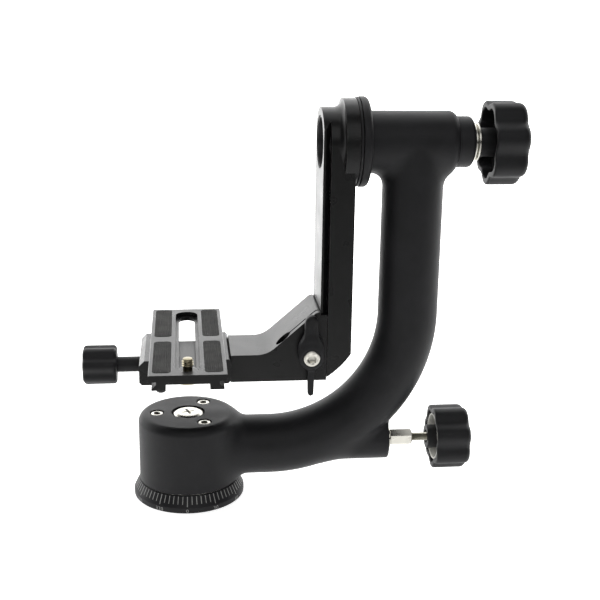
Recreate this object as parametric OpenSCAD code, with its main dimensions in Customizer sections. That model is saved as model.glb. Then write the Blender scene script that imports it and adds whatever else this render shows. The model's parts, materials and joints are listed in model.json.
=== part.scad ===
// Side-arm gimbal head: an alt azimuth mount for a long lens or a small telescope.
// A turning base carries a J-shaped arm. A swing arm hangs from the arm's upper barrel,
// and a platform with a dovetail clamp slides up and down the swing arm.
// Origin: centre of the base's foot, on the azimuth axis. +Z is up, +X runs along the
// altitude axis towards the arm's upright, and -Y is the side of the clamp lever.

/* [Base] */
// Radius of the base at its foot
base_r = 32.2; // [31.5:0.1:34]
// Radius of the base where its cone meets the housing
base_top_r = 29; // [28.9:0.1:30]
// Height of the base
base_h = 9.5; // [9:0.1:10]
// Radius of the housing
housing_r = 28.8; // [28:0.1:29]
// Height of the housing's top face
housing_top = 49.3; // [49:0.1:54]
// Radius of the rounding around the housing's top
housing_round = 4.6; // [2:0.1:5]

/* [J arm] */
// Radius of the arm's round section
tube_r = 17.2; // [16.5:0.1:18]
// Height of the arm's lower, level run
tube_z = 28.07; // [27.5:0.01:29]
// Centreline radius of the bend
bend_r = 80; // [76:1:82]
// Distance of the upright from the azimuth axis
upright_x = 127.4; // [126:0.1:129]
// Height of the altitude axis
tilt_z = 206.5; // [200:0.5:230]

/* [Swing arm] */
// Position of the dovetail rail's flat face
rail_x = 74.4; // [74:0.1:75]
// Half width of the rail at that face
rail_half = 17; // [16:0.1:17.5]
// Half width of the swing arm
bar_half = 19.2; // [19:0.1:19.5]
// Position of the swing arm's outer face
bar_x1 = 91.9; // [91:0.1:93]
// Height of the swing arm's lower end
bar_z0 = 74; // [72:0.5:76]

/* [Platform] */
// Height of the platform beam's top face
beam_top = 89.8; // [88:0.1:90]
// Height of the platform's highest point, at the rail
ramp_top = 114.2; // [110:0.1:120]
// Angle of the ramp up to the rail
ramp_angle = 41.2; // [40:0.1:43]
// Height of the clamp lever's screw
lever_z = 89.6; // [87:0.1:91]

/* [Camera plate] */
// Length of the plate
plate_l = 120; // [110:1:130]
// Half width of the plate's top
plate_half = 20.75; // [20:0.05:21]
// Height of the plate's top face
plate_top = 93.8; // [93.5:0.1:94]
// Half width of the plate's dovetail
foot_half = 19; // [18.9:0.05:19.1]

/* [Knobs] */
// Radius of the altitude knob
tilt_knob_r = 23.25; // [20:0.25:25]
// Radius of the azimuth knob
pan_knob_r = 18.7; // [16:0.1:20]
// Radius of the plate clamp's knob
clamp_knob_r = 11.3; // [10:0.1:13]
// Number of lobes on each knob
lobes = 7; // [6:1:10]

/* [Hidden] */
$fn = 96;
eps = 0.01;
run_gap = 0.04;

// Fasteners and standard parts
tripod_thread_r = 3.97;
camera_thread_r = 3.175;
bearing_bore_r = 6;
bearing_outer_r = 14;
bearing_w = 8;
shaft_r = bearing_bore_r - run_gap;
m3_r = 1.5;
m4_r = 2;
m5_r = 2.5;
m6_r = 3;

// Pan unit, from the bottom up
insert_r = 8;
spindle_screw_pcr = 11.3;
spindle_screw_angles = [30, 150, 270];
glide_r = [23.4, 28];
glide_h = 0.4;
housing_z0 = 10;
carrier_r = 22.4;
carrier_z0 = 13.2;
carrier_z1 = 41.6;
flange_r = 14.5;
flange_h = 3;
pan_bearing_z = [16.6, 33.4];
drum_r = 9;
roof_z = 45;
washer_z0 = 45.15;
spindle_top = 46;
cap_screw_l = 11;
recess_r = 9.5;
housing_screw_pcr = 18.1;
housing_screw_angles = [180, 60, -60];
housing_head_r = 3.6;
housing_head_h = 4;
housing_head_top = 48.5;

// Arm
bend_x = upright_x - bend_r;
bend_z = tube_z + bend_r;
barrel_x0 = 100;
barrel_x1 = 150.7;
barrel_round = 5;
boss_z = 29.3;
boss_r = 12;
boss_x0 = bend_x + 30;
boss_x1 = 117.8;

// Altitude unit, from left to right
hub_r = 24;
hub_x0 = 86.1;
hub_x1 = 93.5;
hub_flare = 4.8;
hub_recess_r = 14.67;
hub_recess_x = 85.4;
friction_x = [93.8, 95.2];
tilt_flange_r = 24.9;
tilt_flange_x = [95.5, barrel_x0];
tilt_bearing_x = [103.6, 139.6];
end_cap_r = 14.2;
end_cap_x1 = 159.3;
washer_r = 10.65;
end_thread_r = 5;
nut_r = 6.5;
tilt_knob_x = [168.4, 187.6];
tilt_knob_turn = -1.4;
tilt_knob_hub_x = 162.9;

// Azimuth lock
lock_rod_r = 2.5;
bush_r = 4;
bush_x0 = boss_x1 - 9;
lock_washer_r = 6;
lock_hex_r = 4.4;
lock_hex_x = [119.6, 132.9];
lock_knob_x = [145.4, 165.8];
lock_knob_hub_x = 142;
lock_knob_turn = -10.8;
lock_insert_r = 4;
shoe_r = 3.8;
shoe_x = [drum_r + 0.08, 22];
shoe_bore_x1 = 36;

// Rail and platform
groove_land = 1.2;
groove_x1 = 78.4;
rail_gap = 0.08;
platform_y0 = -19.2;
platform_y1 = 18.4;
platform_x0 = 24;
platform_x1 = rail_x - rail_gap;
slit_y = [-14.9, -13.8];
relief_x = 53.8;
relief_y = -14.7;
relief_r = 3.9;
lever_x = 68.8;
lever_hub_r = 7.4;
lever_y = [-26.4, -19.5];
stop_z = bar_z0 + 5;

// Plate clamp
clamp_half = 25;
clamp_z0 = 75.6;
clamp_x1 = 23.9;
clamp_split_x = -11.4;
jaw_x = [-26.7, -11.6];
jaw_top = 89.7;
floor_z = 85.55;
channel_z = 84.4;
channel_half = 11.2;
clamp_axis_z = 79.6;
guide_y = 18;
guide_r = 2;
clamp_screw_y = 9.5;
clamp_knob_x = [-58.9, -40];
clamp_knob_turn = -1.7;
clamp_sleeve_r = 4.4;
clamp_sleeve_in = 13;

// Camera plate
foot_z = 85.6;
foot_land = 0.8;
neck_half = 16.6;
slab_z = 90.2;
plate_channel_half = 11.5;
plate_channel_z = 88.8;
ledge_z = 91;
slot_half = 6.6;
ledge_half = 4.7;
slot_y = [-55, 54];
pad_x = [8.9, 18.7];
front_pad_y = [-56, -3.5];
rear_pad_y = [5, 58];
pad_corner = 2.5;
pad_pocket = 0.8;
pad_proud = 0.3;
stop_screw_y = 56.8;
stop_screw_x = 14;
camera_screw_y = -47;
camera_neck_r = 2.5;

// Finishes
coat = [0.12, 0.12, 0.13];
anodised = [0.2, 0.2, 0.21];
plastic = [0.09, 0.09, 0.1];
rubber = [0.28, 0.28, 0.28];
steel = [0.78, 0.77, 0.73];
brass = [0.72, 0.6, 0.35];
nylon = [0.85, 0.84, 0.8];

// Turns a shape drawn up the Z axis so that it runs from x along +X at height z
module along_x(x, z, y = 0) {
    translate([x, y, z]) rotate([0, 90, 0]) children();
}

// Turns a shape drawn up the Z axis so that it runs from y towards -Y
module towards_front(x, y, z) {
    translate([x, y, z]) rotate([90, 0, 0]) children();
}

module bar_x(r, x0, x1, z, y = 0) {
    along_x(x0, z, y) cylinder(r = r, h = x1 - x0);
}

module ring_x(r_out, r_in, x0, x1, z, y = 0) {
    along_x(x0, z, y) ring(r_out, r_in, x1 - x0);
}

module ring(r_out, r_in, h) {
    difference() {
        cylinder(r = r_out, h = h);
        translate([0, 0, -1]) cylinder(r = r_in, h = h + 2);
    }
}

// Solid of revolution whose far rim is rounded
module rounded_disc(r, h, round_r) {
    rotate_extrude() {
        square([r - round_r, h]);
        square([r, h - round_r]);
        translate([r - round_r, h - round_r]) circle(r = round_r);
    }
}

// Prism along Y of an outline drawn with x across and y up
module prism_y(y0, y1) {
    translate([0, y1, 0]) rotate([90, 0, 0]) linear_extrude(y1 - y0) children();
}

// Straight-sided slot with round ends, lying along Y
module slot(half, y0, y1, z0, z1) {
    translate([-half, y0 + half, z0]) cube([2 * half, y1 - y0 - 2 * half, z1 - z0]);
    for (y = [y0 + half, y1 - half])
        translate([0, y, z0]) cylinder(r = half, h = z1 - z0);
}

// Flat block with rounded upright corners
module rounded_block(x0, x1, y0, y1, z0, z1, r) {
    translate([x0 + r, y0, z0]) cube([x1 - x0 - 2 * r, y1 - y0, z1 - z0]);
    translate([x0, y0 + r, z0]) cube([x1 - x0, y1 - y0 - 2 * r, z1 - z0]);
    for (x = [x0 + r, x1 - r], y = [y0 + r, y1 - r])
        translate([x, y, z0]) cylinder(r = r, h = z1 - z0);
}

// Socket-head screw standing head up, with its head's underside at z = 0
module socket_screw(r, length, head_r, head_h, hex) {
    difference() {
        union() {
            translate([0, 0, -length]) cylinder(r = r, h = length + eps);
            cylinder(r = head_r, h = head_h);
        }
        translate([0, 0, head_h * 0.4]) cylinder(r = hex / sqrt(3), h = head_h, $fn = 6);
    }
}

// Deep groove ball bearing standing on z = 0
module ball_bearing() {
    land = 2.2;
    pitch_r = (bearing_bore_r + bearing_outer_r) / 2;
    ball_r = 2.2;
    difference() {
        union() {
            ring(bearing_outer_r, bearing_outer_r - land, bearing_w);
            ring(bearing_bore_r + land, bearing_bore_r, bearing_w);
        }
        translate([0, 0, bearing_w / 2])
            rotate_extrude() translate([pitch_r, 0]) circle(r = ball_r + run_gap);
    }
    for (i = [0 : 8])
        rotate([0, 0, 40 * i]) translate([pitch_r, 0, bearing_w / 2]) sphere(r = ball_r);
}

// Lobed hand knob, its rear rim at z = 0 and its rounded front at z = h
module lobed_knob(r, h, wall, cup_depth, hub_r, hub_z, bore_r, bore_depth) {
    flute_r = r * 0.3;
    flute_depth = r * 0.13;
    difference() {
        union() {
            difference() {
                rounded_disc(r, h, r * 0.17);
                if (cup_depth > 0)
                    translate([0, 0, -1]) cylinder(r = r - wall, h = cup_depth + 1);
            }
            translate([0, 0, hub_z]) cylinder(r = hub_r, h = cup_depth - hub_z + 1);
        }
        for (i = [0 : lobes - 1])
            rotate([0, 0, 360 / lobes * (i + 0.5)])
                translate([r - flute_depth + flute_r, 0, -1]) cylinder(r = flute_r, h = h + 2);
        translate([0, 0, hub_z - 1]) cylinder(r = bore_r, h = bore_depth - hub_z + 1);
    }
}

// ---- Base ----

module pan_base() {
    wall_h = 3.3;
    color(coat)
    difference() {
        rotate_extrude() polygon([
            [0, 0], [base_r - 0.5, 0], [base_r, 0.5], [base_r, wall_h],
            [base_top_r, base_h], [0, base_h]
        ]);
        translate([0, 0, -1]) cylinder(r = insert_r, h = base_h + 2);
        for (a = spindle_screw_angles)
            rotate([0, 0, a]) translate([spindle_screw_pcr, 0, wall_h + 0.7]) cylinder(r = m3_r, h = base_h);
    }
}

module tripod_insert() {
    color(steel)
    difference() {
        cylinder(r = insert_r, h = base_h);
        translate([0, 0, -1]) cylinder(r = tripod_thread_r, h = base_h + 2);
    }
}

module pan_spindle() {
    drum_z0 = pan_bearing_z[0] + bearing_w + run_gap;
    color(steel)
    difference() {
        union() {
            translate([0, 0, base_h]) cylinder(r = flange_r, h = flange_h);
            translate([0, 0, base_h]) cylinder(r = shaft_r, h = spindle_top - base_h);
            translate([0, 0, base_h]) cylinder(r = insert_r, h = pan_bearing_z[0] - run_gap - base_h);
            translate([0, 0, drum_z0]) cylinder(r = drum_r, h = pan_bearing_z[1] - run_gap - drum_z0);
        }
        translate([0, 0, spindle_top - cap_screw_l - 1]) cylinder(r = m6_r, h = spindle_top);
        for (a = spindle_screw_angles)
            rotate([0, 0, a]) translate([spindle_screw_pcr, 0, base_h - 1])
                cylinder(r = m3_r, h = flange_h + 2);
    }
}

module spindle_screws() {
    color(steel)
    for (a = spindle_screw_angles)
        rotate([0, 0, a]) translate([spindle_screw_pcr, 0, base_h + flange_h])
            socket_screw(m3_r, length = 7, head_r = 2.6, head_h = 2, hex = 2);
}

module glide_ring() {
    color(nylon) translate([0, 0, base_h]) ring(glide_r[1], glide_r[0], glide_h);
}

module pan_washer() {
    color(steel) translate([0, 0, washer_z0]) ring(9, shaft_r, spindle_top - washer_z0);
}

// Large pan-head screw with a cross recess, holding the spindle up against its bearings
module pan_cap_screw() {
    head_r = 8.4;
    head_h = 2.4;
    cross_w = 1.5;
    cross_l = 7.4;
    cross_depth = 1.4;
    color(steel) translate([0, 0, spindle_top])
    difference() {
        union() {
            translate([0, 0, -cap_screw_l]) cylinder(r = m6_r, h = cap_screw_l + eps);
            rounded_disc(head_r, head_h, 1);
        }
        for (a = [20, 110])
            rotate([0, 0, a]) translate([-cross_l / 2, -cross_w / 2, head_h - cross_depth])
                cube([cross_l, cross_w, cross_depth + 1]);
    }
}

// ---- Arm ----

module arm_casting() {
    color(coat)
    difference() {
        union() {
            translate([0, 0, housing_z0]) rounded_disc(housing_r, housing_top - housing_z0, housing_round);
            bar_x(tube_r, 0, bend_x, tube_z);
            translate([bend_x, 0, bend_z]) rotate([90, 0, 0]) rotate([0, 0, -90])
                rotate_extrude(angle = 90) translate([bend_r, 0]) circle(r = tube_r);
            translate([upright_x, 0, bend_z]) cylinder(r = tube_r, h = tilt_z - bend_z);
            along_x(barrel_x0, tilt_z) rounded_disc(tube_r, barrel_x1 - barrel_x0, barrel_round);
            bar_x(boss_r, boss_x0, boss_x1, boss_z);
        }
        translate([0, 0, housing_z0 - 1]) cylinder(r = carrier_r, h = carrier_z1 - housing_z0 + 1);
        cylinder(r = shaft_r + 0.5, h = housing_top);
        translate([0, 0, roof_z]) cylinder(r = recess_r, h = housing_top);
        for (a = housing_screw_angles)
            rotate([0, 0, a]) translate([housing_screw_pcr, 0, 0]) {
                translate([0, 0, carrier_z1 - 1]) cylinder(r = m4_r + 0.2, h = housing_top);
                translate([0, 0, housing_head_top - housing_head_h])
                    cylinder(r = housing_head_r + 0.4, h = housing_top);
            }
        bar_x(shoe_r + run_gap, carrier_r - 1, shoe_bore_x1, boss_z);
        bar_x(lock_rod_r + 0.6, shoe_x[1], boss_x1 + 1, boss_z);
        bar_x(bush_r, bush_x0, boss_x1 + 1, boss_z);
        bar_x(bearing_outer_r, tilt_bearing_x[0], barrel_x1 + 1, tilt_z);
        bar_x(bearing_outer_r - 2, barrel_x0 - 1, barrel_x1, tilt_z);
    }
}

// Sleeve that holds both azimuth bearings, drawn up into the casting by three screws
module bearing_carrier() {
    z0 = carrier_z0;
    color(steel)
    difference() {
        translate([0, 0, z0]) cylinder(r = carrier_r, h = carrier_z1 - z0);
        translate([0, 0, z0 - 1]) cylinder(r = bearing_outer_r, h = carrier_z1 - z0 + 2);
        for (a = housing_screw_angles)
            rotate([0, 0, a]) translate([housing_screw_pcr, 0, 30]) cylinder(r = m4_r, h = 20);
        bar_x(shoe_r + run_gap, 8, carrier_r + 1, boss_z);
    }
}

module pan_bearings() {
    color(steel)
    for (z = pan_bearing_z)
        translate([0, 0, z]) ball_bearing();
}

module housing_screws() {
    color(steel)
    for (a = housing_screw_angles)
        rotate([0, 0, a]) translate([housing_screw_pcr, 0, housing_head_top - housing_head_h])
            socket_screw(m4_r, length = 12, head_r = housing_head_r, head_h = housing_head_h, hex = 3);
}

module tilt_flange() {
    color(coat)
    difference() {
        bar_x(tilt_flange_r, tilt_flange_x[0], tilt_flange_x[1], tilt_z);
        bar_x(shaft_r + 1.5, tilt_flange_x[0] - 1, tilt_flange_x[1] + 1, tilt_z);
    }
}

// Friction ring between the swing arm's hub and the flange, keyed to the flange by three lugs
module friction_ring() {
    color(plastic) {
        ring_x(24.5, 13, friction_x[0], friction_x[1], tilt_z);
        ring_x(18, 14, friction_x[1], tilt_flange_x[0], tilt_z);
    }
}

module tilt_bearings() {
    color(steel)
    for (x = tilt_bearing_x)
        along_x(x, tilt_z) ball_bearing();
}

module tilt_end_cap() {
    color(coat)
    difference() {
        union() {
            along_x(barrel_x1, tilt_z) rounded_disc(end_cap_r, end_cap_x1 - barrel_x1, 2.2);
            bar_x(bearing_outer_r, tilt_bearing_x[1] + bearing_w, barrel_x1 + eps, tilt_z);
        }
        bar_x(shaft_r + 0.8, barrel_x1 - 5, end_cap_x1 + 1, tilt_z);
    }
}

// Long hex nut that the azimuth lock's rod runs through
module lock_hex_bush() {
    color(steel)
    difference() {
        union() {
            bar_x(bush_r, bush_x0, lock_hex_x[0] + eps, boss_z);
            along_x(lock_hex_x[0], boss_z)
                cylinder(r = lock_hex_r, h = lock_hex_x[1] - lock_hex_x[0], $fn = 6);
        }
        bar_x(lock_rod_r + run_gap, bush_x0 - 1, lock_hex_x[1] + 1, boss_z);
    }
}

module lock_washer() {
    color(steel) ring_x(lock_washer_r, bush_r, boss_x1, lock_hex_x[0], boss_z);
}

// ---- Azimuth lock ----

module brake_shoe() {
    color(brass)
    difference() {
        bar_x(shoe_r, shoe_x[0], shoe_x[1], boss_z);
        cylinder(r = shoe_x[0], h = 60);
    }
}

module lock_rod() {
    color(steel) bar_x(lock_rod_r, shoe_x[1] + 0.02, lock_knob_x[0] + 10, boss_z);
}

module lock_insert() {
    color(brass)
        ring_x(lock_insert_r, lock_rod_r, lock_knob_hub_x + 2, lock_knob_x[0] + 10, boss_z);
}

module lock_knob() {
    color(plastic) along_x(lock_knob_x[0], boss_z) rotate([0, 0, lock_knob_turn])
        lobed_knob(pan_knob_r, lock_knob_x[1] - lock_knob_x[0], wall = 5, cup_depth = 8,
            hub_r = 7.5, hub_z = lock_knob_hub_x - lock_knob_x[0], bore_r = lock_insert_r,
            bore_depth = 10);
}

// ---- Swing arm ----

module bar_section() {
    polygon([
        [rail_x, -rail_half], [rail_x + groove_land, -rail_half],
        [groove_x1, -rail_half + groove_x1 - rail_x - groove_land], [groove_x1, -bar_half],
        [bar_x1, -bar_half], [bar_x1, bar_half],
        [groove_x1, bar_half], [groove_x1, rail_half - groove_x1 + rail_x + groove_land],
        [rail_x + groove_land, rail_half], [rail_x, rail_half]
    ]);
}

// Concave collar that flares from the bar's round end out to the hub's rim
module hub_collar() {
    along_x(hub_x0 - hub_flare, tilt_z) rotate_extrude() difference() {
        square([hub_r, hub_flare]);
        translate([hub_r, 0]) circle(r = hub_flare);
    }
}

module swing_arm() {
    color(anodised)
    difference() {
        union() {
            intersection() {
                translate([0, 0, bar_z0]) linear_extrude(tilt_z + bar_half - bar_z0) bar_section();
                union() {
                    translate([rail_x - 1, -bar_half - 1, bar_z0 - 1])
                        cube([bar_x1 - rail_x + 2, 2 * bar_half + 2, tilt_z - bar_z0 + 1]);
                    bar_x(bar_half, rail_x - 1, bar_x1 + 1, tilt_z);
                }
            }
            hub_collar();
            bar_x(hub_r, hub_x0 - eps, hub_x1, tilt_z);
        }
        lower_corner();
        bar_x(hub_recess_r, rail_x - 1, hub_recess_x, tilt_z);
        bar_x(shaft_r, hub_recess_x - 1, hub_x1 + 1, tilt_z);
        bar_x(m4_r, rail_x - 1, bar_x1 - 6, stop_z);
    }
}

// The rounded-off lower corner, which clears the inside of the arm's bend
module lower_corner() {
    corner_r = 51;
    centre_x = 49.8;
    centre_z = bar_z0 + 44.05;
    corner_h = 15.3;
    difference() {
        translate([rail_x + 1.4, -30, bar_z0 - 1]) cube([30, 60, corner_h + 1]);
        towards_front(centre_x, 31, centre_z) cylinder(r = corner_r, h = 62);
    }
}

module tilt_spindle() {
    color(steel)
    difference() {
        union() {
            bar_x(shaft_r, hub_recess_x, end_cap_x1 + 0.3, tilt_z);
            bar_x(end_thread_r, end_cap_x1, tilt_knob_x[0] + 12, tilt_z);
        }
        bar_x(m5_r, hub_recess_x - 1, hub_recess_x + 22, tilt_z);
    }
}

module spindle_end_screw() {
    washer_h = 1.4;
    color(steel) {
        along_x(hub_recess_x - washer_h, tilt_z) ring(11, m5_r, washer_h);
        along_x(hub_recess_x - washer_h, tilt_z) rotate([180, 0, 0])
            socket_screw(m5_r, length = 20, head_r = 4.25, head_h = 4.6, hex = 4);
    }
}

// Screw at the foot of the rail: its end stands in a notch in the platform's back, and stops
// the platform from sliding off the rail's lower end
module rail_stop_screw() {
    color(steel) bar_x(m4_r, rail_x - 2, bar_x1 - 6, stop_z);
}

module tilt_washers() {
    color(steel) {
        ring_x(washer_r, end_thread_r + run_gap, end_cap_x1 + 0.6, end_cap_x1 + 1.5, tilt_z);
        ring_x(washer_r - 1.6, end_thread_r + run_gap, end_cap_x1 + 1.5, end_cap_x1 + 2.3, tilt_z);
    }
}

module thrust_washer() {
    color(steel) ring_x(washer_r, end_thread_r + run_gap, end_cap_x1 + 2.35, end_cap_x1 + 3.5, tilt_z);
}

// ---- Altitude lock ----

module tilt_knob() {
    color(plastic) along_x(tilt_knob_x[0], tilt_z) rotate([0, 0, tilt_knob_turn])
        lobed_knob(tilt_knob_r, tilt_knob_x[1] - tilt_knob_x[0], wall = 5.5, cup_depth = 9,
            hub_r = 9, hub_z = tilt_knob_hub_x - tilt_knob_x[0], bore_r = nut_r, bore_depth = 14);
}

module tilt_knob_nut() {
    color(brass)
        ring_x(nut_r, end_thread_r + run_gap, tilt_knob_hub_x - 0.05, tilt_knob_x[0] + 13, tilt_z);
}

// ---- Platform ----

// Side view of the platform: a level beam, a hollow curve and a straight ramp up to the rail
module platform_outline() {
    end_r = 4;
    hollow_r = 15;
    run = (ramp_top - end_r * (1 - cos(ramp_angle)) - beam_top) / tan(ramp_angle);
    foot_x = platform_x1 - 0.7 - end_r * sin(ramp_angle) - run;
    tangent = hollow_r * tan(ramp_angle / 2);
    polygon([
        [platform_x0, bar_z0], [platform_x1, bar_z0],
        [platform_x1, ramp_top - end_r], [foot_x + run, beam_top + run * tan(ramp_angle)],
        [foot_x, beam_top], [platform_x0, beam_top]
    ]);
    intersection() {
        translate([platform_x1 - 0.7, ramp_top - end_r]) circle(r = end_r);
        translate([platform_x1 - 10, beam_top]) square([10, ramp_top]);
    }
    difference() {
        polygon([
            [foot_x - tangent, beam_top - eps], [foot_x, beam_top - eps],
            [foot_x + tangent * cos(ramp_angle), beam_top + tangent * sin(ramp_angle)]
        ]);
        translate([foot_x - tangent, beam_top + hollow_r]) circle(r = hollow_r);
    }
}

// Plan of one hook: it reaches round the rail's edge into the groove
module hook_section(outer) {
    groove_end = groove_x1 - 0.2;
    land_x = rail_x + groove_land;
    inner = rail_half + rail_gap;
    polygon([
        [platform_x1 - 1, inner], [land_x, inner],
        [groove_end, inner - groove_end + land_x], [groove_end, outer], [platform_x1 - 1, outer]
    ]);
}

module platform_bracket() {
    hook_top = ramp_top - 1.6;
    color(anodised)
    difference() {
        union() {
            prism_y(platform_y0, platform_y1) platform_outline();
            translate([0, 0, bar_z0]) linear_extrude(hook_top - bar_z0) {
                hook_section(platform_y1);
                mirror([0, 1]) hook_section(-platform_y0);
            }
        }
        translate([relief_x, slit_y[0], bar_z0 - 1])
            cube([platform_x1 - relief_x + 1, slit_y[1] - slit_y[0], ramp_top - bar_z0 + 2]);
        translate([relief_x, relief_y, bar_z0 - 1])
            cylinder(r = relief_r, h = ramp_top);
        towards_front(lever_x, 0, lever_z) cylinder(r = m5_r + run_gap, h = 30);
        for (y = [-clamp_screw_y, clamp_screw_y])
            bar_x(m4_r, platform_x0 - 1, platform_x0 + 14, clamp_axis_z, y);
        translate([platform_x1 - 2.4, -m4_r - 0.2, bar_z0 - 1])
            cube([3, 2 * m4_r + 0.4, stop_z + m4_r + 0.1 - bar_z0 + 1]);
    }
}

// ---- Plate clamp ----

module clamp_body() {
    lip = foot_half + 0.1;
    color(anodised)
    difference() {
        prism_y(-clamp_half, clamp_half) polygon([
            [clamp_split_x, clamp_z0], [clamp_x1 - 1.5, clamp_z0], [clamp_x1, clamp_z0 + 1.5],
            [clamp_x1, jaw_top - 1.2], [clamp_x1 - 1.2, jaw_top], [neck_half + 0.2, jaw_top],
            [neck_half + 0.2, foot_z + foot_land + lip - neck_half - 0.2],
            [lip, foot_z + foot_land], [lip, floor_z], [channel_half, floor_z],
            [channel_half, channel_z], [clamp_split_x, channel_z]
        ]);
        for (y = [-guide_y, guide_y]) {
            bar_x(guide_r, clamp_split_x - 1, 6, clamp_axis_z, y);
            bar_x(3.2, clamp_split_x - 1, clamp_split_x + 4, clamp_axis_z, y);
        }
        bar_x(m6_r, clamp_split_x - 1, 8, clamp_axis_z);
        for (y = [-clamp_screw_y, clamp_screw_y]) {
            bar_x(m4_r + 0.2, clamp_split_x - 1, clamp_x1 + 1, clamp_axis_z, y);
            bar_x(3.7, clamp_split_x - 1, clamp_split_x + 12, clamp_axis_z, y);
        }
    }
}

module clamp_screws() {
    color(steel)
    for (y = [-clamp_screw_y, clamp_screw_y])
        along_x(clamp_split_x + 12, clamp_axis_z, y) rotate([180, 0, 0])
            socket_screw(m4_r, length = 35, head_r = 3.5, head_h = 4, hex = 3);
}

module guide_pins() {
    color(steel)
    for (y = [-guide_y, guide_y])
        bar_x(guide_r, jaw_x[0] + 3, 6, clamp_axis_z, y);
}

module clamp_stud() {
    color(steel) bar_x(m6_r, clamp_knob_x[0] + 8, 8, clamp_axis_z);
}

// Two short coil springs round the guide pins, which push the jaw open
module jaw_springs() {
    wire_r = 0.35;
    turns = 4;
    color(steel)
    for (y = [-guide_y, guide_y], i = [0 : turns - 1])
        along_x(clamp_split_x + 0.4 + i * 1, clamp_axis_z, y)
            rotate_extrude() translate([guide_r + 0.6, 0]) circle(r = wire_r);
}

module clamp_jaw() {
    lip = foot_half + 0.1;
    color(anodised)
    difference() {
        prism_y(-clamp_half, clamp_half) polygon([
            [jaw_x[0] + 1.5, clamp_z0], [jaw_x[1], clamp_z0], [jaw_x[1], floor_z],
            [-lip, floor_z], [-lip, foot_z + foot_land],
            [-neck_half - 0.2, foot_z + foot_land + lip - neck_half - 0.2],
            [-neck_half - 0.2, jaw_top], [jaw_x[0] + 3, jaw_top], [jaw_x[0], jaw_top - 3],
            [jaw_x[0], clamp_z0 + 1.5]
        ]);
        for (y = [-guide_y, guide_y])
            bar_x(guide_r + run_gap, jaw_x[0] + 2, jaw_x[1] + 1, clamp_axis_z, y);
        bar_x(m6_r + run_gap, jaw_x[0] - 1, jaw_x[1] + 1, clamp_axis_z);
    }
}

module clamp_knob() {
    color(plastic) along_x(clamp_knob_x[1], clamp_axis_z) rotate([180, 0, clamp_knob_turn])
        lobed_knob(clamp_knob_r, clamp_knob_x[1] - clamp_knob_x[0], wall = 0, cup_depth = 0,
            hub_r = 6, hub_z = 0, bore_r = clamp_sleeve_r, bore_depth = clamp_sleeve_in);
}

module clamp_sleeve() {
    color(plastic)
        ring_x(clamp_sleeve_r, m6_r + run_gap, clamp_knob_x[1] - clamp_sleeve_in, jaw_x[0] - 0.05,
            clamp_axis_z);
}

// ---- Clamp lever ----

module lever_bush() {
    color(steel) towards_front(lever_x, platform_y0 - 0.02, lever_z)
        ring(lever_hub_r - 1.2, m5_r, platform_y0 - lever_y[1] - 0.02);
}

module lever_screw() {
    color(steel) towards_front(lever_x, lever_y[0] + 3, lever_z)
        socket_screw(m5_r, length = 18, head_r = 4.6, head_h = 4, hex = 4);
}

// Lever with a round hub, a tapered handle above it and a thin tail below
module clamp_lever() {
    handle_l = 21;
    handle_end_r = 3.4;
    tail_l = 21.5;
    tail_r = 1.6;
    hub_h = lever_y[1] - lever_y[0];
    color(plastic) towards_front(lever_x, lever_y[1], lever_z)
    difference() {
        union() {
            cylinder(r = lever_hub_r, h = hub_h);
            hull() {
                translate([0, 3, 2]) cylinder(r = 5, h = 4, $fn = 32);
                translate([0, handle_l, 3.5]) cylinder(r = handle_end_r, h = 3.6, $fn = 32);
            }
            translate([-tail_r, -tail_l, 1.5]) cube([2 * tail_r, tail_l, 3]);
            translate([0, -tail_l, 1.5]) cylinder(r = tail_r, h = 3);
        }
        translate([0, 0, -1]) cylinder(r = m5_r, h = hub_h + 2);
        translate([0, 0, hub_h - 3]) cylinder(r = 4.6, h = 10);
    }
}

// ---- Camera plate ----

module camera_plate() {
    flank_z = foot_z + foot_land + foot_half - neck_half;
    color(anodised)
    difference() {
        prism_y(-plate_l / 2, plate_l / 2) polygon([
            [-foot_half, foot_z], [-plate_channel_half, foot_z], [-plate_channel_half, plate_channel_z],
            [plate_channel_half, plate_channel_z], [plate_channel_half, foot_z], [foot_half, foot_z],
            [foot_half, foot_z + foot_land], [neck_half, flank_z], [neck_half, slab_z],
            [plate_half, slab_z], [plate_half, plate_top - 0.4], [plate_half - 0.4, plate_top],
            [-plate_half + 0.4, plate_top], [-plate_half, plate_top - 0.4], [-plate_half, slab_z],
            [-neck_half, slab_z], [-neck_half, flank_z], [-foot_half, foot_z + foot_land]
        ]);
        slot(slot_half, slot_y[0], slot_y[1], ledge_z, plate_top + 1);
        slot(ledge_half, slot_y[0] + 2, slot_y[1] - 2, foot_z, plate_top + 1);
        pad_shapes(plate_top - pad_pocket, plate_top + 1);
        for (s = [-1, 1])
            translate([s * stop_screw_x, s * stop_screw_y, foot_z - 1]) cylinder(r = m3_r, h = 5);
    }
}

module pad_shapes(z0, z1) {
    for (s = [-1, 1], y = [front_pad_y, rear_pad_y])
        rounded_block(min(s * pad_x[0], s * pad_x[1]), max(s * pad_x[0], s * pad_x[1]),
            y[0], y[1], z0, z1, pad_corner);
}

module plate_pads() {
    color(rubber) pad_shapes(plate_top - pad_pocket, plate_top + pad_proud);
}

// Screws under the plate's ends that stop it sliding out of the clamp
module plate_stops() {
    color(steel)
    for (s = [-1, 1])
        translate([s * stop_screw_x, s * stop_screw_y, foot_z]) rotate([180, 0, 0])
            socket_screw(m3_r, length = 3.5, head_r = 2.4, head_h = 1.6, hex = 2);
}

// Ring that keeps the camera screw in the slot: the screw is wound through it and then hangs
// by the plain neck below its thread
module screw_keeper() {
    color(anodised) translate([0, camera_screw_y, ledge_z + 0.02])
        ring(5.8, camera_neck_r + run_gap, 1.1);
}

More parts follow.
